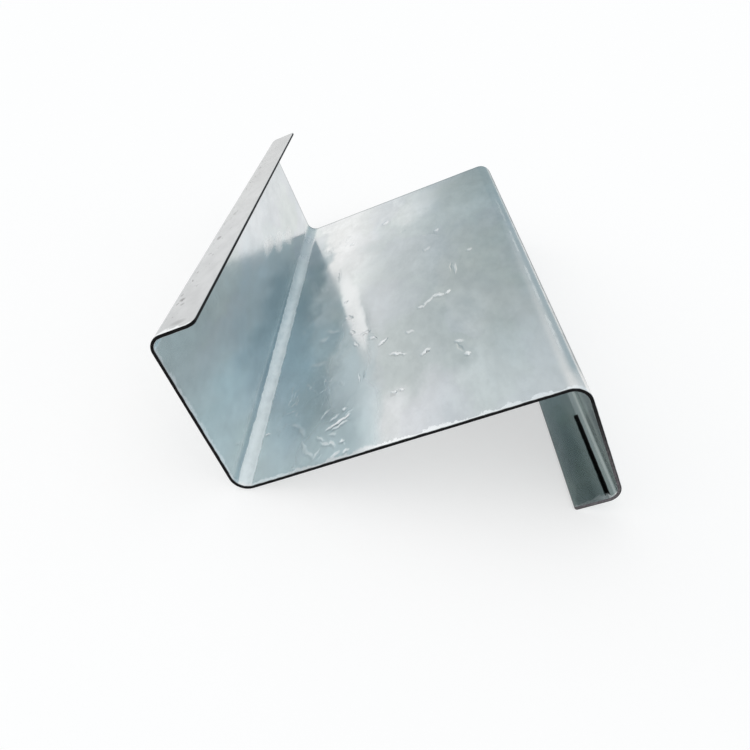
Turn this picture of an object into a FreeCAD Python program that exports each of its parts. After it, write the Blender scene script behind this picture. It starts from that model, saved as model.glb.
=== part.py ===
"""Z purlin: a short cut length of galvanised steel roof purlin, cold-rolled from one strip of sheet.

The section is a Z. A broad flange stands up from one edge of the web and a narrow flange hangs from the
other, and each flange ends in a stiffening lip turned back along the web. The piece lies as it comes to
rest on a level floor: on the outside of the broad flange's bend and on the edge of the narrow flange's lip.

Row frame: +Y runs along the purlin, +Z is up, and the origin is the bottom centre of the bounding box.
The section is drawn in a plane (u, v) of its own, with u along the web and v up the broad flange. It is
walked from the broad lip's edge to the narrow lip's edge, so the sheet has a left and a right skin.
"""

import FreeCAD
import Part

import math
import os

# Section, in millimetres over the outside of the sheet
WEB_DEPTH = 150.0
BROAD_FLANGE = 79.0
NARROW_FLANGE = 59.0
BROAD_LIP = 21.0
NARROW_LIP = 20.5
THICKNESS = 1.5

# Bends: radius on the inside of each, in millimetres, and how far it turns the sheet, in degrees
WEB_BEND_RADIUS = 6.5
LIP_BEND_RADIUS = 4.8
WEB_BEND_TURN = 90.0
LIP_BEND_TURN = 90.0

# Cut piece: its length, and the rounding of the lips' free corners and of every sheared edge.
# The near corner of the broad lip is knocked rounder than the other three.
LENGTH = 318.0
LIP_CORNER_RADIUS = 1.2
KNOCKED_CORNER_RADIUS = 3.5
EDGE_RADIUS = 0.2

NODE = "z_purlin"
LEFT_SKIN = 1
RIGHT_SKIN = -1
TOLERANCE = 1e-6


def heading(degrees):
    """Unit vector of the section plane at an angle from +u."""
    return (math.cos(math.radians(degrees)), math.sin(math.radians(degrees)))


def step(point, degrees, distance):
    """The point at a distance from another, in the direction of an angle from +u."""
    u, v = heading(degrees)
    return (point[0] + u * distance, point[1] + v * distance)


def section_walk():
    """The flats' lengths, the bends' turns and inside radii, and the first flat's heading.

    Lengths run in the middle of the sheet, between the sharp corners that the bends round off.
    """
    flats = [
        BROAD_LIP - THICKNESS / 2,
        BROAD_FLANGE - THICKNESS,
        WEB_DEPTH - THICKNESS,
        NARROW_FLANGE - THICKNESS,
        NARROW_LIP - THICKNESS / 2,
    ]
    turns = [LIP_BEND_TURN, WEB_BEND_TURN, -WEB_BEND_TURN, -LIP_BEND_TURN]
    radii = [LIP_BEND_RADIUS, WEB_BEND_RADIUS, WEB_BEND_RADIUS, LIP_BEND_RADIUS]
    first_heading = -(LIP_BEND_TURN + WEB_BEND_TURN)
    return flats, turns, radii, first_heading


def skin_corners(side):
    """One skin's two ends and the four sharp corners between them, with the heading before each."""
    flats, turns, _, angle = section_walk()
    offset = side * THICKNESS / 2
    middle = (0.0, 0.0)
    corners = [(step(middle, angle + 90, offset), angle)]
    for flat, turn in zip(flats, turns):
        middle = step(middle, angle, flat)
        to_skin = offset / math.cos(math.radians(turn / 2))
        corners.append((step(middle, angle + 90 + turn / 2, to_skin), angle))
        angle += turn
    middle = step(middle, angle, flats[-1])
    corners.append((step(middle, angle + 90, offset), angle))
    return corners


def skin_bends(side):
    """One skin's four bends, each as its start, middle and end points, its centre and its radius."""
    _, turns, radii, _ = section_walk()
    bends = []
    for (corner, angle), turn, inside in zip(skin_corners(side)[1:-1], turns, radii):
        toward = math.copysign(90, turn)
        radius = inside if side * turn > 0 else inside + THICKNESS
        tangent = radius * math.tan(math.radians(abs(turn) / 2))
        start = step(corner, angle, -tangent)
        centre = step(start, angle + toward, radius)
        middle = step(centre, angle - toward + turn / 2, radius)
        end = step(corner, angle + turn, tangent)
        bends.append((start, middle, end, centre, radius))
    return bends


def in_space(point):
    """A point of the section plane, at the near end of the purlin."""
    return FreeCAD.Vector(point[0], 0, point[1])


def line(start, end):
    return Part.LineSegment(in_space(start), in_space(end)).toShape()


def skin_edges(side):
    """The lines and arcs of one skin, and its first and last points."""
    corners = skin_corners(side)
    first, last = corners[0][0], corners[-1][0]
    edges = []
    reached = first
    for start, middle, end, _, _ in skin_bends(side):
        edges.append(line(reached, start))
        edges.append(Part.Arc(in_space(start), in_space(middle), in_space(end)).toShape())
        reached = end
    edges.append(line(reached, last))
    return edges, first, last


def section_face():
    """The section as one closed face: two skins, closed by the edges of the two lips."""
    left, left_first, left_last = skin_edges(LEFT_SKIN)
    right, right_first, right_last = skin_edges(RIGHT_SKIN)
    lip_ends = [line(left_first, right_first), line(left_last, right_last)]
    outline = Part.Wire(Part.__sortEdges__(left + right + lip_ends))
    return Part.Face(outline)


def crosses_sheet(edge):
    """True for an edge that runs through the sheet from skin to skin."""
    return abs(edge.Length - THICKNESS) < TOLERANCE


def round_lip_corners(blank):
    """Rounds the lips' four free corners: in a square-cut blank, the only edges through the sheet."""
    rounded = blank
    for corner in [edge.CenterOfMass for edge in blank.Edges if crosses_sheet(edge)]:
        # The walk starts at the knocked corner, so that one lies on the origin.
        radius = KNOCKED_CORNER_RADIUS if corner.Length < TOLERANCE else LIP_CORNER_RADIUS
        edge = min(rounded.Edges, key=lambda each: each.CenterOfMass.distanceToPoint(corner))
        rounded = rounded.makeFillet(radius, [edge])
    return rounded


def rim_edges(blank):
    """The edges all round both skins, where the sheared faces meet them."""
    sheared = [face for face in blank.Faces if any(crosses_sheet(edge) for edge in face.Edges)]
    return [edge for face in sheared for edge in face.Edges if not crosses_sheet(edge)]


def rest_tilt():
    """Angle, in radians, that the web climbs when the piece lies on the floor.

    It rests on its heel, the outside of the broad flange's bend, and on a toe. The toe is whichever
    tilts it most: the narrow lip's lower edge, or the outside of that lip's bend.
    """
    lip_corner, lip_heading = skin_corners(LEFT_SKIN)[-1]
    lip_edge = step(step(lip_corner, lip_heading, -EDGE_RADIUS), lip_heading - 90, EDGE_RADIUS)
    _, _, _, heel, heel_radius = skin_bends(RIGHT_SKIN)[1]
    _, _, _, lip_bend, lip_bend_radius = skin_bends(LEFT_SKIN)[3]
    tilts = []
    for toe, toe_radius in ((lip_edge, EDGE_RADIUS), (lip_bend, lip_bend_radius)):
        between = math.dist(heel, toe)
        slope = math.atan2(toe[1] - heel[1], toe[0] - heel[0])
        tilts.append(math.asin((toe_radius - heel_radius) / between) - slope)
    return max(tilts)


def lay_to_rest(solid):
    """Turns the piece as it rests, and sets the bottom centre of its bounding box on the origin."""
    resting = solid.copy()
    resting.rotate(FreeCAD.Vector(), FreeCAD.Vector(0, -1, 0), math.degrees(rest_tilt()))
    box = resting.optimalBoundingBox(False, False)
    resting.translate(FreeCAD.Vector(-box.Center.x, -box.Center.y, -box.ZMin))
    return resting


def z_purlin():
    """The whole purlin, rolled, cut to length and laid to rest."""
    blank = section_face().extrude(FreeCAD.Vector(0, LENGTH, 0))
    rounded = round_lip_corners(blank)
    eased = rounded.makeFillet(EDGE_RADIUS, rim_edges(rounded))
    return lay_to_rest(eased)


os.makedirs("parts", exist_ok=True)
purlin = z_purlin()
purlin.exportStep(os.path.join("parts", NODE + ".step"))
print(f"{NODE}: {purlin.Volume / 1000:.2f} cm3, web at {math.degrees(rest_tilt()):.2f} degrees")
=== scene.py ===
"""Looks of a short cut length of galvanised steel Z purlin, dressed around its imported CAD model.

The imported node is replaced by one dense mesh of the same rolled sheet. It is built on the sheet's middle
line, walked from the broad lip's edge to the narrow lip's edge, and it has the slight waves of rolled
steel, which only show in what it reflects. Lengths are in millimetres until the mesh is made.
"""

import math

import bpy
import numpy as np
from mathutils import Matrix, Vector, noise

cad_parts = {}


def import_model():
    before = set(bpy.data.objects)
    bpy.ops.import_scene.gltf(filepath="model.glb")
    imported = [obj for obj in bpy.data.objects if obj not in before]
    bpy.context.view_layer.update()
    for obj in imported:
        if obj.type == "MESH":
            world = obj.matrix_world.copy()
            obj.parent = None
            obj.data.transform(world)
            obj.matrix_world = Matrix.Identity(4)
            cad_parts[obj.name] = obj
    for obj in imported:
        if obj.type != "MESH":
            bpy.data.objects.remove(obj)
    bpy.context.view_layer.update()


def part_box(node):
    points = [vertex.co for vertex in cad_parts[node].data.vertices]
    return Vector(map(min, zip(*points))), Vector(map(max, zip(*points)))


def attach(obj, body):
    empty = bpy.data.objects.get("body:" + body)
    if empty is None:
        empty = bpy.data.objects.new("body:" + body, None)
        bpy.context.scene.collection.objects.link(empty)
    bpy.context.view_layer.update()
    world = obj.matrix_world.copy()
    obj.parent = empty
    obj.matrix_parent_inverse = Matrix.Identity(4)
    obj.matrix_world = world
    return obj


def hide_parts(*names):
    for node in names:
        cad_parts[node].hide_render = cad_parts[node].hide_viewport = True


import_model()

MM = 0.001
NODE = "z_purlin"

# Section, over the outside of the sheet, and the cut piece
WEB_DEPTH = 150.0
BROAD_FLANGE = 79.0
NARROW_FLANGE = 59.0
BROAD_LIP = 21.0
NARROW_LIP = 20.5
THICKNESS = 1.5
WEB_BEND_RADIUS = 6.5
LIP_BEND_RADIUS = 4.8
LENGTH = 318.0
LIP_CORNER_RADIUS = 1.2
KNOCKED_CORNER_RADIUS = 3.5
EDGE_RADIUS = 0.2

# Runs of the section's walk: its four bends, and the web between the second and the third
BEND_RUNS = (1, 3, 5, 7)
WEB_RUN = 4

# Mesh: cell size on the flats, segments of a bend and of an eased edge, lines beside a bend and a rim
CELL = 2.6
BEND_SEGMENTS = 14
EASED_SEGMENTS = 3
BESIDE_BEND = (0.4, 1.2)
BESIDE_RIM = (0.35, 0.6, 0.9, 1.2, 1.75, 2.3, 2.9, 3.5)

# Waves of the rolled sheet: height, length across and along, and the fade-out beside each bend
WAVE_HEIGHT = 0.16
WAVE_ACROSS = 42.0
WAVE_ALONG = 95.0
WAVE_FADE = 14.0

# Camera: place in metres, turn from +Y, drop below the horizon and roll in degrees, lens and sensor in
# millimetres, lens shift, and the nearest and farthest that it sees in metres
CAMERA_PLACE = (-0.012836, -0.392480, 0.202628)
CAMERA_TURN = 1.92705
CAMERA_DROP = 27.73706
CAMERA_ROLL = 2.44952
CAMERA_LENS = 34.375
CAMERA_SENSOR = 36.0
CAMERA_SHIFT = (0.03932, -0.06387)
CAMERA_SEES = (0.01, 50.0)

# Studio, as light from a direction where 1 is white. The card ends softly: on the left where -x is past a
# line that slopes with z round its pivot, at the top in z, and at the front in y. The studio dims to the
# right in x, and towards the camera in y.
STUDIO_WHITE = (1.05, 1.05, 1.05, 1)
STUDIO_CARD = (0.405, 0.50, 0.55, 1)
STUDIO_RIGHT = (0.62, 0.66, 0.68, 1)
STUDIO_CAMERA_SIDE = (0.975, 0.98, 0.98, 1)
CARD_LEFT = (0.0, 0.30)
CARD_SLOPE = 0.6
CARD_PIVOT = 0.17
CARD_TOP = (0.30, 0.75)
CARD_FRONT = (0.0, 0.5)
RIGHT_DIMS = (0.1, 0.8)
CAMERA_SIDE_DIMS = (0.1, -0.8)

# Floor: its white, the share that glows for the rays that see it, how brightly, and its reach in metres
FLOOR_WHITE = (0.97, 0.97, 0.97, 1)
FLOOR_SHINE = 0.48
FLOOR_GLOW = 1.08
FLOOR_REACH = 40.0

# Colours: the zinc in its tones, its painted highlights and painted shade, the dirt on it, and the sheared
# steel, black with painted shade and grey with painted light from the floor
ZINC = (0.675, 0.705, 0.71, 1)
ZINC_DULL = (0.625, 0.665, 0.68, 1)
PALE_BEND_HIGHLIGHT = (0.88, 0.95, 0.97, 1)
PALE_PAINTED_HIGHLIGHT = (0.95, 0.97, 0.98, 1)
BAND_PAINTED_SHADE = (0.14, 0.16, 0.165, 1)
PLATE_TINTS = ((0.985, 1.0, 0.97, 1), (0.99, 0.985, 1.0, 1))
UNDERSIDE_PAINTED_SHADE = (0.75, 0.81, 0.815, 1)
DEEP_PAINTED_SHADE = (0.16, 0.20, 0.22, 1)
LIP_DULL = (0.555, 0.56, 0.56, 1)
LIP_SMUDGE = (0.475, 0.48, 0.48, 1)
RIM_GREY = (0.33, 0.35, 0.355, 1)
CREASE_PAINTED_SHADE = (0.003, 0.003, 0.003, 1)
SPECK_AND_PAINTED_SHADE = (0.16, 0.16, 0.16, 1)
SHEARED_SHADE_BLACK = (0.0015, 0.0015, 0.002, 1)
SHEARED_SHADE_DULL = (0.008, 0.008, 0.009, 1)
SLIT_SHADE_DARK = (0.008, 0.008, 0.008, 1)
BEND_HIGHLIGHT_GREY = (0.81, 0.80, 0.78, 1)
SHEARED_FLOOR_LIGHT = (0.17, 0.155, 0.165, 1)

# The zinc's pattern is drawn out along the purlin, so its lengths that way count for less. The two skins'
# patterns lie far apart, so that they differ.
DRAWN_OUT = 0.45
SKIN_APART = 300.0

# A NOISE is a scale, a detail, a roughness and a distortion, or the first of them. The values of a soft
# change are where it starts and ends, and the results at both where they aren't 0 and 1.

# Zinc: smudges, crystal plates, mottling, roughness and grain
SMUDGE_NOISE = (0.025, 3.0, 0.6, 0.8)
SMUDGED = (0.35, 0.68)
PLATE_WARP_NOISE = (0.10, 3.0)
PLATE_WARP = (22.0, 22.0, 0.0)
PLATE_SCALE = 0.055
PLATE_SMOOTHNESS = 0.6
PLATE_TONE = (0.15, 0.85, 0.95, 1.03)
PLATE_TINTED = (0.3, 0.7)
MOTTLE_NOISE = (0.14, 5.0, 0.65)
MOTTLE_TONE = (0.36, 0.64, 0.975, 1.05)
ROUGH_NOISE = (0.05, 4.0)
ROUGHNESS = (0.3, 0.7, 0.15, 0.24)
GRAIN_NOISE = (0.25, 1.0)
GRAIN_HEIGHT = 0.02

# Shifts that make edges ragged: scale, detail and width. The patches of painted highlight have a part of
# the clouds' shift.
CLOUD_SHIFT = (0.07, 3.0, (32.0, 32.0, 0.0))
HIGHLIGHT_PATCH_SHIFT_PART = (0.4, 0.4, 0.0)
DENT_SHIFT = (0.15, 2.0, (5.0, 5.0, 0.0))
MARK_SHIFT = (0.32, 2.0, (3.0, 2.2, 0.0))

# How much less metallic the zinc is under a patch of painted highlight, on the dull lip, in a mark and in
# the painted highlight of the web's bends
HIGHLIGHT_PATCH_HIDES = 0.8
LIP_HIDES = 0.7
MARK_HIDES = 0.7
BEND_HIGHLIGHT_HIDES = 0.9

# Ragged edges in the web's two bends
BEND_NOISE = (0.3, 3.0)
BEND_RAGGED = 1.8

# Painted highlight: a pale, matt stripe in the web's inner bend. It starts after the bend does, and later
# towards the near end. Its soft edges and the solid lines at them count from its own start and from the
# bend's end.
STRIPE_INSET = 0.5
STRIPE_NARROWS = 3.4
STRIPE_START = (-0.5, 0.5)
STRIPE_END = (-1.3, -0.4)
STRIPE_START_LINE = (0.4, 1.6)
STRIPE_END_LINE = (-2.6, -1.6)
STRIPE_NOISE = (0.28, 3.0, 0.6)
STRIPE_BROKEN = (0.35, 0.65, 0.68, 1.0)
STRIPE_ALONG = (LENGTH / 2, -LENGTH / 2)
STRIPE_FAR_SHARE = 0.25
PAINTED_BAND_ROUGHNESS = 0.35

# Bands of painted light on the web's outer bend: a dark band of painted shade, a thin highlight line and a
# wider light band of painted highlight. How far past the bend's start and end they go, their softness, and
# their change along the purlin. The highlight line counts from the bend's start only.
SHADE_BAND_SPAN = (8.0, 1.0, 1.0)
SHADE_BAND_ALONG = (-158.0, -135.0, 0.0, 0.7)
SHADE_BAND_GLOSS = 0.45
HIGHLIGHT_LINE_SPAN = (2.8, 3.8, 0.5)
HIGHLIGHT_LINE_ALONG = (110.0, 0.0, 0.1, 1.0)
HIGHLIGHT_LINE_NOISE = (0.12, 2.0)
HIGHLIGHT_LINE_BROKEN = (0.42, 0.58, 0.05, 0.3)
BEND_HIGHLIGHT_SPAN = (1.0, 4.0, 2.5)
BEND_HIGHLIGHT_ALONG = (70.0, -50.0, 0.0, 0.8)

# Painted shade on the inside of the narrow flange and lip: how far before the web's outer bend it starts,
# and the deeper painted shade's span, as above, and share
UNDERSIDE_BEFORE = 4.0
DEEP_SHADE_SPAN = (4.0, 26.0, 6.0)
DEEP_SHADE_SHARE = 0.6

# Black line of painted shade in the crease of the narrow lip's bend: how far it goes before and past the
# end of that bend, and its ends along
CREASE_SHADE_SPAN = (-1.5, 0.8, 0.3)
CREASE_SHADE_ALONG = (-158.3, -99.0, 0.5)
CREASE_SHADE_NOISE = (0.4, 2.0)
CREASE_SHADE_RAGGED = 0.5

# Outside of the broad lip: its dull tone and smudges, the grain on its bend, and its specks, which come in
# before the bend and go out after it
LIP_DULL_SHARE = 0.8
LIP_SMUDGE_NOISE = (0.13, 4.0, 0.6)
LIP_SMUDGED = (0.35, 0.65)
LIP_GRAIN_SPAN = (1.0, 1.0, 1.0)
LIP_GRAIN_NOISE = (0.4, 3.0, 0.6)
LIP_GRAIN = (0.45, 0.62, 0.35, 0.6)
LIP_SPECK_NOISE = (0.5, 2.0)
LIP_SPECKLED = (0.63, 0.70)
LIP_SPECKS_IN = (9.0, 1.0)
LIP_SPECKS_OUT = 1.0

# Rim of the skins: how far in the near end's painted highlight reaches in bright stretches and how it
# fades, and the grey strip at the far end
RIM_NOISE = (0.13, 4.0, 0.7)
RIM_REACH = (0.38, 0.66, 0.7, 4.5)
RIM_FADE = (0.5, 1.0, 0.85, 0.0)
RIM_FAR = (LENGTH / 2 - 3.0, LENGTH / 2 - 1.5, 0.0, 0.7)

# Sheared edge, black with painted shade. The grey of painted light from the floor comes in from the end of
# the web's outer bend to past the start of the lip's, below a height in the sheet. The slit is the broad
# lip's free edge, dark with painted shade but for a zinc rim, and the burr is the top of the other edges.
SHEARED_MOTTLE_NOISE = (0.6, 2.0)
SHEARED_MOTTLED = (0.45, 0.75)
EDGE_FLOOR_LIGHT_IN = (-2.0, 8.0)
EDGE_FLOOR_LIGHT_TOP = (0.25, 0.4, 1.0, 0.0)
EDGE_FLOOR_LIGHT_NOISE = (1.2, 3.0)
EDGE_FLOOR_LIGHT_GRAIN = (0.3, 0.7, 0.45, 1.0)
SLIT_WALK = (0.2, 1.2, 1.0, 0.0)
SLIT_ALONG = (-156.5, -154.0)
SLIT_RIM = (-0.74, -0.6)
BURR_HEIGHT = (0.58, 0.66)
BURR_WALK = (1.0, 2.0)
BURR_NOISE = (0.25, 2.0)
BURR_BROKEN = (0.4, 0.6, 0.25, 0.9)
SHEARED_ROUGHNESS = 0.55
SHEARED_GLOSS = 0.1

# Soft clouds in the zinc of the left skin, each by its middle and its reach as (walk, along), its colour
# and its share. Some are darker than the zinc and some paler.
CLOUDS = [
    ((78.0, -20.0), (40.0, 115.0), (0.495, 0.60, 0.645, 1), 1.0),
    ((112.0, -30.0), (24.0, 110.0), (0.53, 0.645, 0.685, 1), 0.9),
    ((118.0, -125.0), (26.0, 50.0), (0.60, 0.715, 0.76, 1), 0.8),
    ((124.0, -62.0), (13.0, 60.0), (0.53, 0.66, 0.71, 1), 0.75),
    ((38.0, 70.0), (26.0, 110.0), (0.70, 0.725, 0.74, 1), 0.8),
    ((60.0, -150.0), (80.0, 70.0), (0.69, 0.775, 0.79, 1), 0.8),
    ((126.0, 96.0), (30.0, 125.0), (0.81, 0.815, 0.81, 1), 0.85),
    ((106.0, 45.0), (14.0, 95.0), (0.38, 0.47, 0.50, 1), 0.9),
    ((149.0, -14.0), (17.0, 48.0), (0.86, 0.87, 0.87, 1), 0.85),
    ((140.0, 150.0), (36.0, 50.0), (0.78, 0.79, 0.78, 1), 0.5),
    ((182.0, 125.0), (26.0, 40.0), (0.84, 0.85, 0.83, 1), 0.7),
    ((178.0, 30.0), (60.0, 75.0), (0.50, 0.545, 0.545, 1), 0.5),
    ((172.0, -55.0), (44.0, 100.0), (0.45, 0.495, 0.495, 1), 0.9),
    ((222.0, 140.0), (40.0, 70.0), (0.495, 0.52, 0.485, 1), 0.7),
    ((158.0, -30.0), (26.0, 34.0), (0.58, 0.60, 0.655, 1), 0.35),
    ((220.0, -20.0), (32.0, 110.0), (0.595, 0.61, 0.565, 1), 0.7),
    ((172.0, -140.0), (30.0, 26.0), (0.76, 0.76, 0.785, 1), 0.5),
    ((218.0, -140.0), (30.0, 60.0), (0.74, 0.77, 0.765, 1), 0.6),
]

# Pale, less metallic patches of painted highlight, in the same way
HIGHLIGHT_PATCHES = [
    ((140.0, -88.0), (14.0, 52.0), (0.62, 0.735, 0.775, 1), 0.8),
    ((148.0, -130.0), (11.0, 44.0), (0.64, 0.745, 0.78, 1), 0.7),
    ((136.0, -152.0), (24.0, 34.0), (0.62, 0.75, 0.79, 1), 0.8),
    ((136.0, -50.0), (7.0, 36.0), (0.70, 0.78, 0.81, 1), 0.5),
    ((57.0, 34.0), (5.5, 18.0), (0.93, 0.935, 0.93, 1), 0.9),
    ((64.0, 60.0), (5.5, 20.0), (0.93, 0.935, 0.93, 1), 0.9),
    ((71.0, 84.0), (5.5, 20.0), (0.93, 0.935, 0.93, 1), 0.9),
    ((240.0, -157.0), (6.0, 14.0), (0.84, 0.86, 0.865, 1), 0.9),
]

# A shallow dent that catches the light where the web's reflection of the broad flange ends: its middle as
# (walk, along), the way it runs and its reach along that and across it, both as the pattern has them, its
# soft edge, how far its normal leans, and the pale colour painted in it as a highlight
DENT_MIDDLE = (139.5, -24.0)
DENT_WAY = (0.34, -0.94)
DENT_REACH = (36.0, 6.5)
DENT_EDGE = (0.0, 0.9)
DENT_TILT = (0.03, 0.11, 0.0)
DENT_PAINTED_HIGHLIGHT = (0.76, 0.78, 0.78, 1)

# Dirty spots on the outside of the broad lip, each by its middle, its reach and its share
LIP_SPOTS = [
    ((13.0, -129.0), (1.6, 2.0), 0.9),
    ((11.5, -134.5), (1.2, 1.6), 0.6),
    ((8.0, -153.0), (4.0, 2.6), 0.45),
    ((13.5, 76.0), (1.5, 3.0), 0.8),
    ((13.0, -57.0), (1.6, 3.0), 0.8),
    ((12.0, -20.0), (1.2, 3.0), 0.5),
    ((9.0, 175.0), (30.0, 190.0), 0.32),
]

# Small scuffs between the marks: how thin they are, their patches, their stretch of the web, their share
# along the purlin, and that of their painted shade
SCUFF_NOISE = (0.22, 1.0)
SCUFF_THIN = 0.022
SCUFF_PATCH_NOISE = (0.06, 2.0)
SCUFF_PATCHES = (0.53, 0.68)
SCUFF_WALK = (108.0, 130.0, 9.0)
SCUFF_ALONG = (130.0, -150.0, 0.4, 0.75)
SCUFF_SHADE = 0.4

# The web's marked side is cut into bands along the purlin, so that no point is tested for every mark. A
# band also has the marks that end within a margin of it.
MARK_BANDS = (-160.0, -137.0, -115.0, -85.0, -45.0, 10.0, 160.0)
MARK_MARGIN = 8.0

# Looks of a mark: where its painted shade looks for its height, how strong its painted highlight and its
# painted shade are, and its relief
MARK_SHADE = (0.5, 0.7, 0.0)
MARK_PAINTED_HIGHLIGHT = 0.8
MARK_PAINTED_SHADE = 0.24
MARK_RELIEF = 0.17

# Marks on the web, each from one end to the other as (walk, along), with its half width and its height.
# A raised mark has a painted highlight and a side of painted shade, and a sunk one (below 0) is painted
# dark as shade.
MARKS = [
    ((132.0, 90.5), (135.0, 89.5), 1.1, 1.0),
    ((127.0, 108.5), (129.5, 108.0), 1.6, -0.6),
    ((157.0, 108.0), (159.0, 109.5), 1.6, 0.9),
    ((126.0, 50.0), (127.0, 28.0), 1.0, -0.4),
    ((133.0, -6.5), (134.0, -5.5), 0.8, 0.7),
    ((135.0, -28.5), (138.5, -30.5), 1.0, 1.3),
    ((145.0, -55.5), (149.5, -54.0), 0.8, 1.2),
    ((155.0, -73.5), (160.0, -69.5), 0.7, 1.2),
    ((160.5, -86.0), (170.0, -91.5), 0.6, 1.0),
    ((145.5, -95.0), (145.8, -102.5), 0.6, 0.9),
    ((148.0, -95.0), (148.0, -102.5), 0.8, -0.6),
    ((135.0, -99.0), (137.7, -100.0), 0.8, -0.7),
    ((124.0, -38.0), (131.5, -42.0), 1.2, 0.45),
    ((121.0, -47.0), (124.5, -45.5), 1.3, 0.45),
    ((118.0, -72.0), (126.5, -73.0), 1.4, 0.3),
    ((177.0, -46.5), (180.5, -47.0), 0.8, 0.7),
    ((180.5, -47.0), (186.5, -39.5), 1.0, 0.8),
    ((186.5, -39.5), (192.5, -41.0), 1.0, 0.9),
    ((193.7, -39.7), (195.7, -39.3), 1.0, 1.1),
    ((170.0, -69.0), (174.0, -71.0), 0.8, 0.6),
    ((177.0, -96.5), (182.0, -94.5), 0.7, 1.1),
    ((180.3, -96.5), (181.0, -96.8), 0.8, -1.2),
    ((194.0, -95.0), (197.5, -96.5), 0.7, 0.7),
    ((194.5, -98.5), (197.5, -106.0), 0.7, -0.6),
    ((198.0, -109.0), (199.7, -109.3), 0.7, 1.0),
    ((185.5, 57.5), (194.0, 49.5), 1.1, -0.35),
    ((193.0, 56.5), (195.0, 57.2), 1.1, 0.7),
    ((184.5, 30.5), (187.0, 31.5), 1.3, 0.5),
    ((210.5, 7.0), (212.5, 6.5), 1.0, 0.7),
    ((201.4, -6.5), (200.4, -19.5), 0.8, 0.5),
    ((199.4, -5.0), (198.8, -14.5), 0.7, -0.5),
    ((161.8, -122.0), (164.4, -123.0), 0.6, 0.9),
    ((166.0, -122.0), (168.0, -122.0), 0.6, 0.8),
    ((135.5, -132.3), (142.7, -128.4), 0.6, 1.5),
    ((139.5, -126.8), (143.0, -124.6), 0.6, -0.8),
    ((132.6, -129.2), (136.8, -125.8), 0.6, 0.8),
    ((138.7, -122.5), (140.7, -122.2), 0.7, 0.9),
    ((127.8, -125.0), (132.0, -118.5), 0.7, 0.6),
    ((133.5, -137.0), (136.5, -137.5), 0.6, -0.8),
    ((133.0, -139.3), (136.5, -140.2), 0.6, 0.7),
    ((133.8, -144.8), (137.0, -149.3), 0.7, 0.9),
    ((138.8, -146.5), (140.2, -146.4), 0.7, 1.0),
    ((139.0, -149.2), (140.5, -149.3), 0.6, -0.9),
    ((138.7, -153.4), (135.7, -156.2), 0.8, 0.9),
    ((141.0, -154.5), (142.7, -154.0), 0.7, 0.9),
    ((128.8, -147.4), (127.0, -152.8), 0.6, 0.6),
    ((128.4, -154.2), (129.6, -152.4), 0.7, -0.7),
    ((112.6, -122.5), (117.4, -126.5), 0.7, 0.35),
    ((117.4, -126.5), (120.3, -133.2), 0.7, 0.35),
    ((98.0, -124.3), (101.8, -123.8), 0.6, 0.9),
    ((131.0, -134.5), (138.5, -131.0), 0.5, 1.2),
    ((134.5, -136.0), (141.5, -132.5), 0.5, 1.1),
    ((127.0, -137.5), (131.5, -142.5), 0.5, 0.7),
    ((129.5, -143.5), (134.5, -146.5), 0.5, 0.8),
    ((122.5, -146.0), (126.5, -151.5), 0.6, 0.5),
    ((119.5, -138.0), (122.5, -146.5), 0.8, 0.35),
    ((141.5, -62.0), (143.5, -67.0), 0.8, 1.1),
    ((138.5, -47.5), (141.0, -50.5), 0.8, 1.2),
    ((150.5, -61.5), (153.5, -64.5), 0.7, 1.0),
    ((169.5, 78.4), (172.0, 77.8), 1.2, -0.4),
]


def section_runs():
    """The middle line's straight runs and bends: each its length and its curvature, + turning left."""
    flats = [
        BROAD_LIP - THICKNESS / 2,
        BROAD_FLANGE - THICKNESS,
        WEB_DEPTH - THICKNESS,
        NARROW_FLANGE - THICKNESS,
        NARROW_LIP - THICKNESS / 2,
    ]
    radii = [each + THICKNESS / 2 for each in (LIP_BEND_RADIUS, WEB_BEND_RADIUS)]
    bends = [(radii[0], 1), (radii[1], 1), (radii[1], -1), (radii[0], -1)]
    trims = [0.0] + [radius for radius, _ in bends] + [0.0]
    runs = []
    for index, flat in enumerate(flats):
        runs.append((flat - trims[index] - trims[index + 1], 0.0))
        if index < len(bends):
            radius, way = bends[index]
            runs.append((radius * math.pi / 2, way / radius))
    return runs


def run_starts():
    """Distance along the middle line at which each run starts, and the whole line's length last."""
    return np.concatenate(([0.0], np.cumsum([length for length, _ in section_runs()])))


def middle_line(walk):
    """Points (u, v) and headings of the middle line, at distances along it."""
    points = np.zeros((len(walk), 2))
    headings = np.zeros(len(walk))
    starts = run_starts()
    place = np.zeros(2)
    heading = -math.pi
    for index, (length, curve) in enumerate(section_runs()):
        last = index == len(starts) - 2
        inside = (walk >= starts[index]) & ((walk < starts[index + 1]) | last)
        if index == 0:
            inside |= walk < 0
        gone = walk[inside] - starts[index]
        points[inside] = place + run_offset(gone, heading, curve)
        headings[inside] = heading + curve * gone
        place = place + run_offset(np.array([length]), heading, curve)[0]
        heading += curve * length
    return points, headings


def run_offset(gone, heading, curve):
    """How far a run has moved in (u, v) after the distances gone."""
    if curve == 0:
        return gone[:, None] * np.array([math.cos(heading), math.sin(heading)])
    turned = heading + curve * gone
    along_u = (np.sin(turned) - math.sin(heading)) / curve
    along_v = (math.cos(heading) - np.cos(turned)) / curve
    return np.stack([along_u, along_v], axis=1)


def on_section(walk, height):
    """Points (u, v) of the section plane, at distances along the middle line and heights above it."""
    points, headings = middle_line(walk)
    return points + np.stack([-np.sin(headings), np.cos(headings)], axis=1) * height[:, None]


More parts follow.
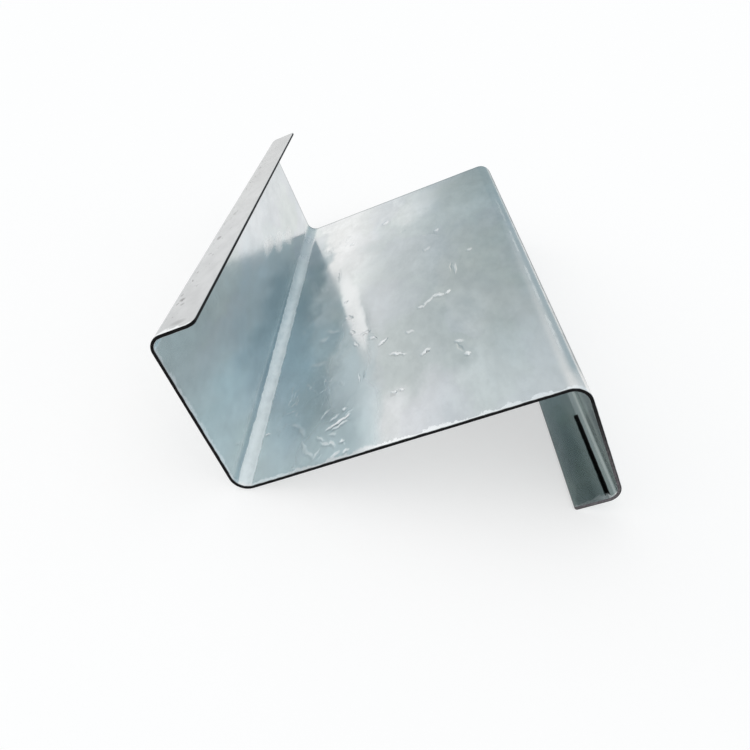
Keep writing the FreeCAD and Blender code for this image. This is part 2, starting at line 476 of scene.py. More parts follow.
def rest_tilt():
    """Angle, in radians, that the web climbs when the piece lies on the floor.

    It rests on its heel, the outside of the broad flange's bend, and on its toe, the narrow lip's edge.
    """
    starts = run_starts()
    heel_radius = WEB_BEND_RADIUS + THICKNESS
    walk = np.array([starts[BEND_RUNS[1]], starts[-1] - EDGE_RADIUS])
    height = np.array([heel_radius - THICKNESS / 2, THICKNESS / 2 - EDGE_RADIUS])
    heel, toe = on_section(walk, height)
    slope = math.atan2(toe[1] - heel[1], toe[0] - heel[0])
    return math.asin((EDGE_RADIUS - heel_radius) / math.dist(heel, toe)) - slope


def spaced(start, end, cell):
    """Evenly spaced values from start to end, both included, no further apart than a cell."""
    return np.linspace(start, end, max(1, math.ceil((end - start) / cell)) + 1)


def walk_lines():
    """Where the mesh has lines across the walk: at the rims, on the flats and round the bends."""
    starts = run_starts()
    lines = [EDGE_RADIUS, starts[-1] - EDGE_RADIUS]
    for index, (_, curve) in enumerate(section_runs()):
        start, end = starts[index], starts[index + 1]
        if curve:
            lines.extend(np.linspace(start, end, BEND_SEGMENTS + 1))
            continue
        low = [start + each for each in (BESIDE_RIM if index == 0 else BESIDE_BEND)]
        high = [end - each for each in (BESIDE_RIM if end == starts[-1] else BESIDE_BEND)]
        lines.extend(low + high)
        lines.extend(spaced(low[-1], high[-1], CELL))
    return np.unique(np.round(lines, 6))


def length_lines():
    """Where the mesh has lines along the purlin."""
    half = LENGTH / 2
    rim = [half - each for each in BESIDE_RIM]
    lines = [half - EDGE_RADIUS, EDGE_RADIUS - half] + rim + [-each for each in rim]
    lines.extend(spaced(-rim[-1], rim[-1], CELL))
    return np.unique(np.round(lines, 6))


def corner_radius(from_end, at_far_end):
    """Radius of one of the lips' free corners. The knocked one is the broad lip's at the near end."""
    return LIP_CORNER_RADIUS if from_end or at_far_end else KNOCKED_CORNER_RADIUS


def round_corner(walk, along, from_end, at_far_end):
    """Bends the mesh's lines in one free corner of the sheet, so that its rim becomes an arc."""
    total = run_starts()[-1]
    radius = corner_radius(from_end, at_far_end)
    way_walk = 1 if from_end else -1
    way_along = 1 if at_far_end else -1
    centre_walk = total - radius if from_end else radius
    centre_along = (LENGTH / 2 - radius) * way_along
    reach = radius - EDGE_RADIUS
    across = (walk - centre_walk) * way_walk / reach
    down = (along - centre_along) * way_along / reach
    inside = (across > 0) & (down > 0)
    across, down = across[inside], down[inside]
    walk[inside] = centre_walk + way_walk * reach * across * np.sqrt(1 - down**2 / 2)
    along[inside] = centre_along + way_along * reach * down * np.sqrt(1 - across**2 / 2)


def sheet_grid():
    """Distances (walk, along) of the grid that covers each skin, its free corners rounded."""
    walk, along = np.meshgrid(walk_lines(), length_lines(), indexing="ij")
    for from_end in (False, True):
        for at_far_end in (False, True):
            round_corner(walk, along, from_end, at_far_end)
    return walk, along


def rim_numbers(rows, columns):
    """Numbers of the grid's border points, in order round it."""
    near = [(row, 0) for row in range(rows - 1)]
    end = [(rows - 1, column) for column in range(columns - 1)]
    far = [(row, columns - 1) for row in range(rows - 1, 0, -1)]
    start = [(0, column) for column in range(columns - 1, 0, -1)]
    return np.array([row * columns + column for row, column in near + end + far + start])


def rim_outward(walk, along):
    """Unit outward direction, in (walk, along), at each point of the rounded border."""
    total = run_starts()[-1]
    outward = np.zeros((len(walk), 2))
    for index, (at_walk, at_along) in enumerate(zip(walk, along)):
        from_end = at_walk > total / 2
        at_far_end = at_along > 0
        radius = corner_radius(from_end, at_far_end)
        past_walk = abs(at_walk - total / 2) - (total / 2 - radius)
        past_along = abs(at_along) - (LENGTH / 2 - radius)
        if past_walk > 0 and past_along > 0:
            size = math.hypot(past_walk, past_along)
            direction = (past_walk / size, past_along / size)
        elif past_walk > past_along:
            direction = (1.0, 0.0)
        else:
            direction = (0.0, 1.0)
        outward[index, 0] = direction[0] * (1 if from_end else -1)
        outward[index, 1] = direction[1] * (1 if at_far_end else -1)
    return outward


def wave(walk, along):
    """Height of the rolled sheet's slight waves: none on the lips, at the bends or beside them."""
    starts = run_starts()
    height = np.zeros(len(walk))
    for index, (_, curve) in enumerate(section_runs()):
        start, end = starts[index], starts[index + 1]
        if curve or index == 0 or end == starts[-1]:
            continue
        inside = np.nonzero((walk > start) & (walk < end))[0]
        for each in inside:
            beside = min(walk[each] - start, end - walk[each]) / WAVE_FADE
            fade = min(1.0, beside)
            fade = fade * fade * (3 - 2 * fade)
            place = (walk[each] / WAVE_ACROSS, along[each] / WAVE_ALONG, float(index))
            height[each] = WAVE_HEIGHT * fade * noise.noise(place)
    return height


def in_space(walk, along, height):
    """Points of the sheet in the row's directions, at heights above its middle, not yet placed."""
    u, v = on_section(walk, height).T
    tilt = rest_tilt()
    x = u * math.cos(tilt) - v * math.sin(tilt)
    z = u * math.sin(tilt) + v * math.cos(tilt)
    return np.stack([x, along, z], axis=1)


def set_on_box(points, still):
    """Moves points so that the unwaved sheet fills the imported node's box, and turns them to metres."""
    low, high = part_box(NODE)
    centre = (still.min(axis=0) + still.max(axis=0)) / 2
    moved = points * MM
    moved[:, 0] += (low.x + high.x) / 2 - centre[0] * MM
    moved[:, 1] += (low.y + high.y) / 2 - centre[1] * MM
    moved[:, 2] += low.z - still[:, 2].min() * MM
    return moved


def skin_quads(rows, columns):
    """The grid's faces on the left skin, and the same turned over on the right skin."""
    number = np.arange(rows * columns).reshape(rows, columns)
    corners = [number[:-1, :-1], number[:-1, 1:], number[1:, 1:], number[1:, :-1]]
    left = np.stack([each.ravel() for each in corners], axis=1)
    return [left, left[:, ::-1] + rows * columns]


def eased_rings():
    """The eased edge's rings from the left skin to the right: how far out each lies, and its height."""
    half = THICKNESS / 2
    angles = [math.pi / 2 * step / EASED_SEGMENTS for step in range(1, EASED_SEGMENTS + 1)]
    upper = [(EDGE_RADIUS * math.sin(each), half - EDGE_RADIUS * (1 - math.cos(each))) for each in angles]
    return upper + [(out, -height) for out, height in reversed(upper)]


def sheet_layers():
    """Every point of the sheet as (walk, along, height), its faces, and how many of those are skin."""
    walk, along = sheet_grid()
    rows, columns = walk.shape
    walk, along = walk.ravel(), along.ravel()
    count = len(walk)
    layers = [(walk, along, np.full(count, side)) for side in (THICKNESS / 2, -THICKNESS / 2)]
    border = rim_numbers(rows, columns)
    outward = rim_outward(walk[border], along[border])
    rings = [border]
    made = 2 * count
    for out, height in eased_rings():
        ring_walk = walk[border] + outward[:, 0] * out
        ring_along = along[border] + outward[:, 1] * out
        layers.append((ring_walk, ring_along, np.full(len(border), height)))
        rings.append(made + np.arange(len(border)))
        made += len(border)
    rings.append(border + count)
    strips = []
    for upper, lower in zip(rings[:-1], rings[1:]):
        strips.append(np.stack([upper, np.roll(upper, -1), np.roll(lower, -1), lower], axis=1))
    skins = skin_quads(rows, columns)
    walk, along, height = [np.concatenate(each) for each in zip(*layers)]
    return walk, along, height, np.concatenate(skins + strips), sum(len(each) for each in skins)


def face_bands(walk, along, height, quads):
    """Each face's band of marks, from 1, or 0 where it isn't on the web's left skin."""
    web_start, web_end = run_starts()[WEB_RUN:WEB_RUN + 2]
    middle = walk[quads].mean(axis=1)
    on_web = (height[quads].min(axis=1) > 0) & (middle > web_start) & (middle < web_end)
    band = np.searchsorted(MARK_BANDS, along[quads].mean(axis=1))
    return np.where(on_web, band, 0).astype(np.int32)


def purlin_mesh():
    """The sheet as one closed mesh, with its place on the flat sheet kept for the material."""
    walk, along, height, quads, skin = sheet_layers()
    still = in_space(walk, along, height)
    waved = in_space(walk, along, height + wave(walk, along))
    places = set_on_box(waved, still)
    mesh = bpy.data.meshes.new(NODE)
    mesh.from_pydata(places.tolist(), [], quads.tolist())
    mesh.validate()
    sheet = mesh.attributes.new("sheet", "FLOAT_VECTOR", "POINT")
    values = np.stack([walk, along, height], axis=1).astype(np.float32)
    sheet.data.foreach_set("vector", values.ravel())
    slots = face_bands(walk, along, height, quads)
    slots[skin:] = len(MARK_BANDS)
    mesh.polygons.foreach_set("material_index", slots)
    mesh.polygons.foreach_set("use_smooth", np.ones(len(quads), dtype=bool))
    mesh.update()
    return mesh


def new_material(name):
    material = bpy.data.materials.new(name)
    material.use_nodes = True
    material.node_tree.nodes.clear()
    return material


class Nodes:
    """Short ways to add linked shader nodes to one tree. An input is a socket to link, or a value."""

    def __init__(self, tree):
        self.tree = tree

    def add(self, kind, settings=(), **inputs):
        """A new node with its settings and inputs. In an input's name, _ is a space."""
        node = self.tree.nodes.new(kind)
        for name, value in dict(settings).items():
            setattr(node, name, value)
        self.feed([node.inputs[name.replace("_", " ")] for name in inputs], inputs.values())
        return node

    def feed(self, sockets, values):
        """Links or sets inputs, one after the other."""
        for socket, value in zip(sockets, values):
            if isinstance(value, bpy.types.NodeSocket):
                self.tree.links.new(value, socket)
            else:
                socket.default_value = value

    def math(self, operation, first, second=0.0, third=0.0):
        node = self.tree.nodes.new("ShaderNodeMath")
        node.operation = operation
        self.feed(node.inputs, (first, second, third))
        return node.outputs["Value"]

    def vector(self, operation, first, second, output="Vector", third=(0.0, 0.0, 0.0)):
        node = self.tree.nodes.new("ShaderNodeVectorMath")
        node.operation = operation
        self.feed(node.inputs, (first, second, third))
        return node.outputs[output]

    def ramp(self, value, low, high, to_low=0.0, to_high=1.0):
        """Smooth step of a value from low to high, between two results."""
        node = self.tree.nodes.new("ShaderNodeMapRange")
        node.interpolation_type = "SMOOTHSTEP"
        names = ("Value", "From Min", "From Max", "To Min", "To Max")
        self.feed([node.inputs[name] for name in names], (value, low, high, to_low, to_high))
        return node.outputs["Result"]

    def lowered(self, value, share, part):
        """A value, less a part of it where the share is 1."""
        return self.math("MULTIPLY", value, self.math("MULTIPLY_ADD", share, -part, 1.0))

    def noise(self, place, scale, detail=2.0, roughness=0.5, distortion=0.0):
        node = self.add("ShaderNodeTexNoise", Vector=place, Scale=scale, Detail=detail,
                        Roughness=roughness, Distortion=distortion)
        return node.outputs["Fac"]

    def blend(self, share, first, second, way="MIX"):
        """Mixes two colours."""
        node = self.tree.nodes.new("ShaderNodeMix")
        node.data_type = "RGBA"
        node.blend_type = way
        colours = [each for each in node.inputs if each.type == "RGBA"]
        self.feed([node.inputs[0]] + colours, (share, first, second))
        return next(each for each in node.outputs if each.type == "RGBA")


def bend_spans():
    """Where each of the four bends starts and ends along the walk, in millimetres."""
    starts = run_starts()
    return [(starts[index], starts[index + 1]) for index in BEND_RUNS]


def sheet_place(nodes):
    """The place on the flat sheet as one vector, and its walk, along and height."""
    sheet = nodes.add("ShaderNodeAttribute", {"attribute_name": "sheet"}).outputs["Vector"]
    parts = nodes.add("ShaderNodeSeparateXYZ", Vector=sheet).outputs
    return sheet, parts["X"], parts["Y"], parts["Z"]


def within(nodes, value, low, high, soft):
    """1 between low and high and 0 outside, with soft edges."""
    rise = nodes.ramp(value, low - soft, low + soft)
    fall = nodes.ramp(value, high - soft, high + soft, 1.0, 0.0)
    return nodes.math("MULTIPLY", rise, fall)


def spanning(nodes, value, between, span):
    """1 between two places and 0 outside. The span is how far past each it goes, and how softly."""
    return within(nodes, value, between[0] + span[0], between[1] + span[1], span[2])


def ragged(nodes, value, flat, pattern, width):
    """A value moved by a noise, up to half the width each way."""
    shift = nodes.math("MULTIPLY", nodes.math("SUBTRACT", nodes.noise(flat, *pattern), 0.5), width)
    return nodes.math("ADD", value, shift)


def ragged_shift(nodes, flat, scale, detail, widths):
    """A noisy shift of a pattern place, up to half the widths each way."""
    shift = nodes.add("ShaderNodeTexNoise", Vector=flat, Scale=scale, Detail=detail).outputs["Color"]
    return nodes.vector("MULTIPLY", nodes.vector("SUBTRACT", shift, (0.5, 0.5, 0.5)), widths)


def drawn_in(pair):
    """A (walk, along) pair as the pattern has it."""
    return (pair[0], pair[1] * DRAWN_OUT)


def as_place(nodes, flat):
    """A pattern place as (walk, along, 1), which ovals are tested with."""
    return nodes.vector("MULTIPLY_ADD", flat, (1.0, 1.0, 0.0), third=(0.0, 0.0, 1.0))


def oval(nodes, place, middle, way, reach):
    """1 in the middle of an oval and 0 outside it.

    The place is (walk, along, 1), and the reach is along the oval's way and across it.
    """
    parts = []
    for (x, y), half in zip((way, (-way[1], way[0])), reach):
        offset = -(middle[0] * x + middle[1] * y)
        parts.append(nodes.vector("DOT_PRODUCT", place, (x / half, y / half, offset / half), "Value"))
    along = nodes.math("MULTIPLY", parts[0], parts[0])
    away = nodes.math("MULTIPLY_ADD", parts[1], parts[1], along)
    inside = nodes.math("SUBTRACT", 1.0, away)
    inside.node.use_clamp = True
    return inside


def spot(nodes, place, middle, reach, share, skin):
    """How much an oval of one skin covers a place. Its middle and its reach are (walk, along)."""
    inside = oval(nodes, place, drawn_in(middle), (1.0, 0.0), drawn_in(reach))
    return nodes.math("MULTIPLY", inside, nodes.math("MULTIPLY", skin, share))


def marks_in_band(number):
    """The marks that one band of the web needs."""
    low = MARK_BANDS[number] - MARK_MARGIN
    high = MARK_BANDS[number + 1] + MARK_MARGIN
    chosen = []
    for mark in MARKS:
        ends = (mark[0][1], mark[1][1])
        if max(ends) > low and min(ends) < high:
            chosen.append(mark)
    return chosen


def mark_height(nodes, place, marks):
    """Sum of the marks' heights at a place: each is a short ridge or groove between two ends."""
    total = 0.0
    for first, last, half_width, height in marks:
        first, last = drawn_in(first), drawn_in(last)
        middle = ((first[0] + last[0]) / 2, (first[1] + last[1]) / 2)
        length = math.dist(first, last)
        way = ((last[0] - first[0]) / length, (last[1] - first[1]) / length)
        inside = oval(nodes, place, middle, way, (length / 2 + half_width, half_width))
        total = nodes.math("MULTIPLY_ADD", inside, height, total)
    return total


def galvanised(name, marks):
    """Hot-dip zinc: glossy, faintly patchy, marked where it was handled, and with painted highlights and
    shade.
    """
    material = new_material(name)
    nodes = Nodes(material.node_tree)
    _, walk, along, height = sheet_place(nodes)
    left_skin = nodes.math("GREATER_THAN", height, 0.0)
    right_skin = nodes.math("SUBTRACT", 1.0, left_skin)
    flat = nodes.add("ShaderNodeCombineXYZ", X=walk, Y=nodes.math("MULTIPLY", along, DRAWN_OUT),
                     Z=nodes.math("MULTIPLY", left_skin, SKIN_APART)).outputs["Vector"]
    colour, tone, rough = zinc_body(nodes, flat)
    colour, highlight_patch = clouds(nodes, colour, flat, left_skin)
    colour = nodes.vector("MULTIPLY", colour, tone)
    colour, rough, metal, gloss = bend_painted_light(nodes, colour, rough, flat, walk, along, left_skin)
    metal = nodes.lowered(metal, highlight_patch, HIGHLIGHT_PATCH_HIDES)
    colour = narrow_side(nodes, colour, flat, walk, along, right_skin)
    colour, dull = broad_lip(nodes, colour, flat, walk, right_skin)
    metal = nodes.lowered(metal, dull, LIP_HIDES)
    relief, shade = handling_marks(nodes, flat, walk, along, left_skin, marks)
    colour, mark_highlight = marked(nodes, colour, relief, shade)
    metal = nodes.lowered(metal, mark_highlight, MARK_HIDES)
    colour = rims(nodes, colour, flat, along)
    dent = nodes.math("MULTIPLY", dented(nodes, flat), left_skin)
    # The dent is also painted pale, as a painted highlight
    colour = nodes.blend(dent, colour, DENT_PAINTED_HIGHLIGHT)
    shader = nodes.add("ShaderNodeBsdfPrincipled", Base_Color=colour, Metallic=metal, Roughness=rough,
                       Specular_IOR_Level=gloss, Normal=leaning_normal(nodes, flat, relief, dent))
    nodes.add("ShaderNodeOutputMaterial", Surface=shader.outputs["BSDF"])
    return material


def zinc_body(nodes, flat):
    """Large soft smudges, then the tone of faint crystal plates and fine mottling, and the roughness."""
    smudge = nodes.ramp(nodes.noise(flat, *SMUDGE_NOISE), *SMUDGED)
    colour = nodes.blend(smudge, ZINC, ZINC_DULL)
    scale, detail = PLATE_WARP_NOISE
    shift = nodes.add("ShaderNodeTexNoise", Vector=flat, Scale=scale, Detail=detail).outputs["Color"]
    warped = nodes.vector("ADD", flat, nodes.vector("MULTIPLY", shift, PLATE_WARP))
    cells = nodes.add("ShaderNodeTexVoronoi", {"feature": "SMOOTH_F1"}, Vector=warped,
                      Scale=PLATE_SCALE, Smoothness=PLATE_SMOOTHNESS)
    each = nodes.add("ShaderNodeSeparateColor", Color=cells.outputs["Color"]).outputs
    mottled = nodes.ramp(nodes.noise(flat, *MOTTLE_NOISE), *MOTTLE_TONE)
    tone = nodes.math("MULTIPLY", nodes.ramp(each["Red"], *PLATE_TONE), mottled)
    tint = nodes.blend(nodes.ramp(each["Green"], *PLATE_TINTED), *PLATE_TINTS)
    colour = nodes.blend(1.0, colour, tint, "MULTIPLY")
    tone = nodes.add("ShaderNodeCombineXYZ", X=tone, Y=tone, Z=tone).outputs["Vector"]
    rough = nodes.ramp(nodes.noise(flat, *ROUGH_NOISE), *ROUGHNESS)
    return colour, tone, rough


def clouds(nodes, colour, flat, left_skin):
    """Clouds in the zinc and pale patches of painted highlight, with ragged edges, and the highlight's
    share.
    """
    shift = ragged_shift(nodes, flat, *CLOUD_SHIFT)
    place = as_place(nodes, nodes.vector("ADD", flat, shift))
    for middle, reach, shade, share in CLOUDS:
        colour = nodes.blend(spot(nodes, place, middle, reach, share, left_skin), colour, shade)
    # Pale patches of painted highlight
    highlight_patch = 0.0
    place = as_place(nodes, nodes.vector("MULTIPLY_ADD", shift, HIGHLIGHT_PATCH_SHIFT_PART, third=flat))
    for middle, reach, shade, share in HIGHLIGHT_PATCHES:
        covered = spot(nodes, place, middle, reach, share, left_skin)
        colour = nodes.blend(covered, colour, shade)
        highlight_patch = nodes.math("MAXIMUM", covered, highlight_patch)
    return colour, highlight_patch


def dented(nodes, flat):
    """1 in the shallow dent of the web and 0 outside it."""
    place = as_place(nodes, nodes.vector("ADD", flat, ragged_shift(nodes, flat, *DENT_SHIFT)))
    return nodes.ramp(oval(nodes, place, drawn_in(DENT_MIDDLE), DENT_WAY, DENT_REACH), *DENT_EDGE)


def highlight_stripe(nodes, edge, flat, along):
    """The pale stripe of painted highlight in the web's inner bend, narrower and stronger towards the near
    end.
    """
    start, end = bend_spans()[1]
    near = nodes.ramp(along, *STRIPE_ALONG)
    first = nodes.math("MULTIPLY_ADD", near, STRIPE_NARROWS, start + STRIPE_INSET)
    past = nodes.math("SUBTRACT", edge, first)
    left = nodes.math("SUBTRACT", edge, end)
    band = nodes.math("MULTIPLY", nodes.ramp(past, *STRIPE_START), nodes.ramp(left, *STRIPE_END, 1.0, 0.0))
    broken = nodes.ramp(nodes.noise(flat, *STRIPE_NOISE), *STRIPE_BROKEN)
    lines = nodes.math("MAXIMUM", nodes.ramp(past, *STRIPE_START_LINE, 1.0, 0.0),
                       nodes.ramp(left, *STRIPE_END_LINE))
    band = nodes.math("MULTIPLY", band, nodes.math("MAXIMUM", broken, lines))
    share = nodes.math("MULTIPLY_ADD", near, 1 - STRIPE_FAR_SHARE, STRIPE_FAR_SHARE)
    return nodes.math("MULTIPLY", band, share)


def highlight_line(nodes, edge, flat, along):
    """The thin bright line of painted highlight in the web's outer bend."""
    start, _ = bend_spans()[2]
    line = spanning(nodes, edge, (start, start), HIGHLIGHT_LINE_SPAN)
    broken = nodes.ramp(nodes.noise(flat, *HIGHLIGHT_LINE_NOISE), *HIGHLIGHT_LINE_BROKEN)
    broken = nodes.math("MULTIPLY", broken, nodes.ramp(along, *HIGHLIGHT_LINE_ALONG))
    return nodes.math("MULTIPLY", line, broken)


def bend_painted_light(nodes, colour, rough, flat, walk, along, left_skin):
    """Painted highlight in the web's bends, the inner pale and matt, the outer grey with a bright line, and
    a dark band of painted shade.
    """
    edge = ragged(nodes, walk, flat, BEND_NOISE, BEND_RAGGED)
    outer = bend_spans()[2]
    # Painted highlight: the pale stripe in the inner bend and the bright line in the outer bend
    painted_highlight = nodes.math("MAXIMUM", highlight_stripe(nodes, edge, flat, along),
                      highlight_line(nodes, edge, flat, along))
    painted_highlight = nodes.math("MULTIPLY", painted_highlight, left_skin)
    # Painted shade: a dark band along the outer bend
    shade_band = nodes.math("MULTIPLY", spanning(nodes, edge, outer, SHADE_BAND_SPAN), left_skin)
    shade_band = nodes.math("MULTIPLY", shade_band, nodes.ramp(along, *SHADE_BAND_ALONG))
    # Painted highlight: a light grey band on the outer bend, towards the near end
    bend_highlight = nodes.math("MULTIPLY", spanning(nodes, edge, outer, BEND_HIGHLIGHT_SPAN), left_skin)
    bend_highlight = nodes.math("MULTIPLY", bend_highlight, nodes.ramp(along, *BEND_HIGHLIGHT_ALONG))
    colour = nodes.blend(bend_highlight, colour, BEND_HIGHLIGHT_GREY)
    colour = nodes.blend(painted_highlight, colour, PALE_BEND_HIGHLIGHT)
    colour = nodes.blend(shade_band, colour, BAND_PAINTED_SHADE)
    rough = nodes.math("MULTIPLY_ADD", nodes.math("MAXIMUM", painted_highlight, shade_band), PAINTED_BAND_ROUGHNESS, rough)
    metal = nodes.lowered(nodes.math("SUBTRACT", 1.0, shade_band), painted_highlight, BEND_HIGHLIGHT_HIDES)
    gloss = nodes.math("MULTIPLY_ADD", shade_band, -SHADE_BAND_GLOSS, 0.5)
    return colour, rough, metal, gloss


def narrow_side(nodes, colour, flat, walk, along, right_skin):
    """Painted shade on the inside of the narrow flange and lip, with a black line of painted shade in the
    lip's bend.
    """
    _, _, outer, lip_bend = bend_spans()
    # Painted shade over the inside of the narrow flange and lip, tinted blue-grey
    dull = nodes.math("MULTIPLY", nodes.ramp(walk, outer[0] - UNDERSIDE_BEFORE, outer[1]), right_skin)
    colour = nodes.blend(dull, colour, nodes.blend(1.0, colour, UNDERSIDE_PAINTED_SHADE, "MULTIPLY"))
    # Deeper painted shade beside the web's outer bend
    deep_shade = nodes.math("MULTIPLY", spanning(nodes, walk, outer, DEEP_SHADE_SPAN), right_skin)
    colour = nodes.blend(nodes.math("MULTIPLY", deep_shade, DEEP_SHADE_SHARE), colour, DEEP_PAINTED_SHADE)
    # A black line of painted shade in the crease of the narrow lip's bend
    edge = ragged(nodes, walk, flat, CREASE_SHADE_NOISE, CREASE_SHADE_RAGGED)
    crease_shade = spanning(nodes, edge, (lip_bend[1], lip_bend[1]), CREASE_SHADE_SPAN)
    crease_shade = nodes.math("MULTIPLY", crease_shade, within(nodes, along, *CREASE_SHADE_ALONG))
    return nodes.blend(nodes.math("MULTIPLY", crease_shade, right_skin), colour, CREASE_PAINTED_SHADE)


def broad_lip(nodes, colour, flat, walk, right_skin):
    """The outside of the broad lip is dull, smudged and spotted, with dark grain and specks at its bend."""
    start, end = bend_spans()[0]
    dull = nodes.math("MULTIPLY", nodes.ramp(walk, start, end, LIP_DULL_SHARE, 0.0), right_skin)
    smudged = nodes.ramp(nodes.noise(flat, *LIP_SMUDGE_NOISE), *LIP_SMUDGED)
    colour = nodes.blend(dull, colour, nodes.blend(smudged, LIP_DULL, LIP_SMUDGE))
    on_bend = nodes.math("MULTIPLY", spanning(nodes, walk, (start, end), LIP_GRAIN_SPAN), right_skin)
    grain = nodes.ramp(nodes.noise(flat, *LIP_GRAIN_NOISE), *LIP_GRAIN)
    colour = nodes.blend(nodes.math("MULTIPLY", on_bend, grain), colour, RIM_GREY)
    place = as_place(nodes, flat)
    for middle, reach, share in LIP_SPOTS:
        colour = nodes.blend(spot(nodes, place, middle, reach, share, right_skin), colour, SPECK_AND_PAINTED_SHADE)
    specks = nodes.ramp(nodes.noise(flat, *LIP_SPECK_NOISE), *LIP_SPECKLED)
    coming = nodes.ramp(walk, start - LIP_SPECKS_IN[0], start - LIP_SPECKS_IN[1])
    going = nodes.ramp(walk, end, end + LIP_SPECKS_OUT, 1.0, 0.0)
    on_lip = nodes.math("MULTIPLY", nodes.math("MULTIPLY", coming, going), right_skin)
    return nodes.blend(nodes.math("MULTIPLY", on_lip, specks), colour, SPECK_AND_PAINTED_SHADE), dull


def handling_marks(nodes, flat, walk, along, left_skin, marks):
    """Height of the web's scratches and dents, and of small scuffs where it was handled most.

    The second result is the same heights, moved towards the near end: where the marks' painted shade falls.
    """
    shift = ragged_shift(nodes, flat, *MARK_SHIFT)
    patch = nodes.ramp(nodes.noise(flat, *SCUFF_PATCH_NOISE), *SCUFF_PATCHES)
    share = nodes.math("MULTIPLY", patch, within(nodes, walk, *SCUFF_WALK))
    share = nodes.math("MULTIPLY", share, nodes.ramp(along, *SCUFF_ALONG))
    heights = []
    for away, scuffed in (((0.0, 0.0, 0.0), 1.0), (MARK_SHADE, SCUFF_SHADE)):
        moved = nodes.vector("ADD", flat, away)
        height = mark_height(nodes, as_place(nodes, nodes.vector("ADD", moved, shift)), marks)
        ridge = nodes.math("ABSOLUTE", nodes.math("SUBTRACT", nodes.noise(moved, *SCUFF_NOISE), 0.5))
        scuff = nodes.ramp(ridge, 0.0, SCUFF_THIN, scuffed, 0.0)
        height = nodes.math("MULTIPLY_ADD", scuff, share, height)
        heights.append(nodes.math("MULTIPLY", height, left_skin))
    return heights


def marked(nodes, colour, relief, shade):
    """The colour with the marks' painted highlight and painted shade, and how strong the highlight is at
    each place.
    """
    # Painted highlight on the raised marks, and painted shade beside them and in the sunk ones
    mark_highlight = nodes.math("MULTIPLY", relief, MARK_PAINTED_HIGHLIGHT)
    mark_highlight.node.use_clamp = True
    mark_shade = nodes.math("MULTIPLY", nodes.math("SUBTRACT", shade, relief), MARK_PAINTED_SHADE)
    mark_shade.node.use_clamp = True
    colour = nodes.blend(mark_highlight, colour, PALE_PAINTED_HIGHLIGHT)
    return nodes.blend(mark_shade, colour, SPECK_AND_PAINTED_SHADE), mark_highlight


def leaning_normal(nodes, flat, relief, dent):
    """The sheet's normal with the relief of its grain and marks, leaning in the dent."""
    grain = nodes.math("MULTIPLY", nodes.noise(flat, *GRAIN_NOISE), GRAIN_HEIGHT)
    lift = nodes.math("MULTIPLY_ADD", relief, MARK_RELIEF, grain)
    bump = nodes.add("ShaderNodeBump", Height=lift, Distance=MM).outputs["Normal"]
    lean = nodes.add("ShaderNodeVectorMath", {"operation": "SCALE"}, Vector=DENT_TILT, Scale=dent)
    return nodes.vector("NORMALIZE", nodes.vector("ADD", bump, lean.outputs["Vector"]), (0.0, 0.0, 0.0))


def rims(nodes, colour, flat, along):
    """A painted highlight on the skin's edge at the near end, in broken stretches, and grey at the far."""
    # Painted highlight along the near end's rim
    inset = nodes.math("ADD", LENGTH / 2 - EDGE_RADIUS, along)
    reach = nodes.ramp(nodes.noise(flat, *RIM_NOISE), *RIM_REACH)
    rim_highlight = nodes.ramp(nodes.math("DIVIDE", inset, reach), *RIM_FADE)
    colour = nodes.blend(rim_highlight, colour, PALE_PAINTED_HIGHLIGHT)
    return nodes.blend(nodes.ramp(along, *RIM_FAR), colour, RIM_GREY)


def sheared():
    """The sheared edge: black with painted shade, and grey with painted light from the floor on the narrow
    flange and lip.
    """
    material = new_material("sheared_edge")
    nodes = Nodes(material.node_tree)
    sheet, walk, along, height = sheet_place(nodes)
    # Black painted shade over the sheared edge, mottled
    scale = nodes.ramp(nodes.noise(sheet, *SHEARED_MOTTLE_NOISE), *SHEARED_MOTTLED)
    colour = nodes.blend(scale, SHEARED_SHADE_BLACK, SHEARED_SHADE_DULL)
    outer, lip_bend = bend_spans()[2:]
    # Grey painted light from the floor on the edge of the narrow flange and lip
    edge_floor_light = nodes.ramp(walk, outer[1] + EDGE_FLOOR_LIGHT_IN[0], lip_bend[0] + EDGE_FLOOR_LIGHT_IN[1])
    edge_floor_light = nodes.math("MULTIPLY", edge_floor_light, nodes.ramp(height, *EDGE_FLOOR_LIGHT_TOP))
    grain = nodes.ramp(nodes.noise(sheet, *EDGE_FLOOR_LIGHT_NOISE), *EDGE_FLOOR_LIGHT_GRAIN)
    colour = nodes.blend(nodes.math("MULTIPLY", edge_floor_light, grain), colour, SHEARED_FLOOR_LIGHT)
    # The slit is dark with painted shade as well
    slit = nodes.math("MULTIPLY", nodes.ramp(walk, *SLIT_WALK), nodes.ramp(along, *SLIT_ALONG))
    slit_tone = nodes.blend(nodes.ramp(height, *SLIT_RIM), ZINC_DULL, SLIT_SHADE_DARK)
    colour = nodes.blend(slit, colour, slit_tone)
    burr = nodes.math("MULTIPLY", nodes.ramp(height, *BURR_HEIGHT), nodes.ramp(walk, *BURR_WALK))
    broken = nodes.ramp(nodes.noise(sheet, *BURR_NOISE), *BURR_BROKEN)
    colour = nodes.blend(nodes.math("MULTIPLY", burr, broken), colour, ZINC_DULL)
    shader = nodes.add("ShaderNodeBsdfPrincipled", Base_Color=colour, Roughness=SHEARED_ROUGHNESS,
                       Specular_IOR_Level=SHEARED_GLOSS)
    nodes.add("ShaderNodeOutputMaterial", Surface=shader.outputs["BSDF"])
    return material


def purlin():
    mesh = purlin_mesh()
    mesh.materials.append(galvanised("galvanised_skin", []))
    for number in range(len(MARK_BANDS) - 1):
        mesh.materials.append(galvanised(f"galvanised_web_{number + 1}", marks_in_band(number)))
    mesh.materials.append(sheared())
    piece = bpy.data.objects.new("purlin", mesh)
    bpy.context.scene.collection.objects.link(piece)
    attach(piece, "root")
    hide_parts(NODE)


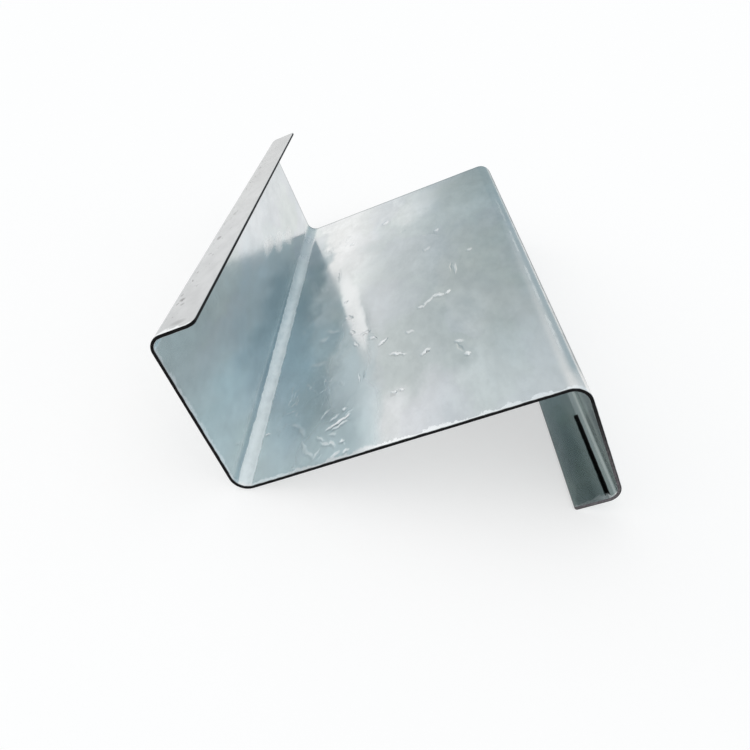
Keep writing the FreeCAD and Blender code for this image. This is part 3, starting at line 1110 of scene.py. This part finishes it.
def seen_white(nodes):
    """1 for the rays that see the background: straight from the camera, or by way of metal or glass."""
    path = nodes.add("ShaderNodeLightPath").outputs
    seen = nodes.math("MAXIMUM", path["Is Camera Ray"], path["Is Glossy Ray"])
    return nodes.math("MAXIMUM", seen, path["Is Transmission Ray"])


def floor():
    """A white floor that partly glows for the rays that see it, so that its shadows are soft and pale."""
    mesh = bpy.data.meshes.new("floor")
    corners = [(x * FLOOR_REACH, y * FLOOR_REACH, 0) for x, y in ((-1, -1), (1, -1), (1, 1), (-1, 1))]
    mesh.from_pydata(corners, [], [(0, 1, 2, 3)])
    material = new_material("white_floor")
    nodes = Nodes(material.node_tree)
    lit = nodes.add("ShaderNodeBsdfDiffuse", Color=FLOOR_WHITE)
    white = nodes.add("ShaderNodeEmission", Strength=FLOOR_GLOW)
    share = nodes.math("MULTIPLY", seen_white(nodes), FLOOR_SHINE)
    mixed = nodes.add("ShaderNodeMixShader")
    nodes.feed(mixed.inputs, (share, lit.outputs["BSDF"], white.outputs["Emission"]))
    nodes.add("ShaderNodeOutputMaterial", Surface=mixed.outputs["Shader"])
    mesh.materials.append(material)
    piece = bpy.data.objects.new("floor", mesh)
    bpy.context.scene.collection.objects.link(piece)


def world():
    """A pale studio with a blue-grey card behind the object, less bright to the right and the front."""
    made = bpy.data.worlds.new("studio")
    bpy.context.scene.world = made
    made.use_nodes = True
    made.node_tree.nodes.clear()
    nodes = Nodes(made.node_tree)
    toward = nodes.add("ShaderNodeTexCoord").outputs["Generated"]
    parts = nodes.add("ShaderNodeSeparateXYZ", Vector=toward).outputs
    x, y, z = parts["X"], parts["Y"], parts["Z"]
    line = nodes.math("MULTIPLY_ADD", z, -CARD_SLOPE, CARD_SLOPE * CARD_PIVOT)
    past_left = nodes.ramp(nodes.math("SUBTRACT", line, x), *CARD_LEFT)
    past_top = nodes.ramp(z, *CARD_TOP)
    on_card = nodes.math("MULTIPLY", nodes.math("SUBTRACT", 1.0, past_left),
                         nodes.math("SUBTRACT", 1.0, past_top))
    on_card = nodes.math("MULTIPLY", on_card, nodes.ramp(y, *CARD_FRONT))
    light = nodes.blend(nodes.ramp(x, *RIGHT_DIMS), STUDIO_WHITE, STUDIO_RIGHT)
    light = nodes.blend(nodes.ramp(y, *CAMERA_SIDE_DIMS), light, STUDIO_CAMERA_SIDE)
    light = nodes.blend(on_card, light, STUDIO_CARD)
    background = nodes.add("ShaderNodeBackground", Color=light, Strength=1.0)
    nodes.add("ShaderNodeOutputWorld", Surface=background.outputs["Background"])


def camera():
    data = bpy.data.cameras.new("camera")
    data.sensor_width = CAMERA_SENSOR
    data.lens = CAMERA_LENS
    data.shift_x, data.shift_y = CAMERA_SHIFT
    data.clip_start, data.clip_end = CAMERA_SEES
    obj = bpy.data.objects.new("camera", data)
    turn = Matrix.Rotation(math.radians(CAMERA_TURN), 4, "Z")
    drop = Matrix.Rotation(math.radians(90 - CAMERA_DROP), 4, "X")
    roll = Matrix.Rotation(math.radians(CAMERA_ROLL), 4, "Z")
    obj.matrix_world = Matrix.Translation(CAMERA_PLACE) @ turn @ drop @ roll
    bpy.context.scene.collection.objects.link(obj)
    bpy.context.scene.camera = obj


purlin()
floor()
world()
camera()
bpy.context.scene.view_settings.view_transform = "Standard"
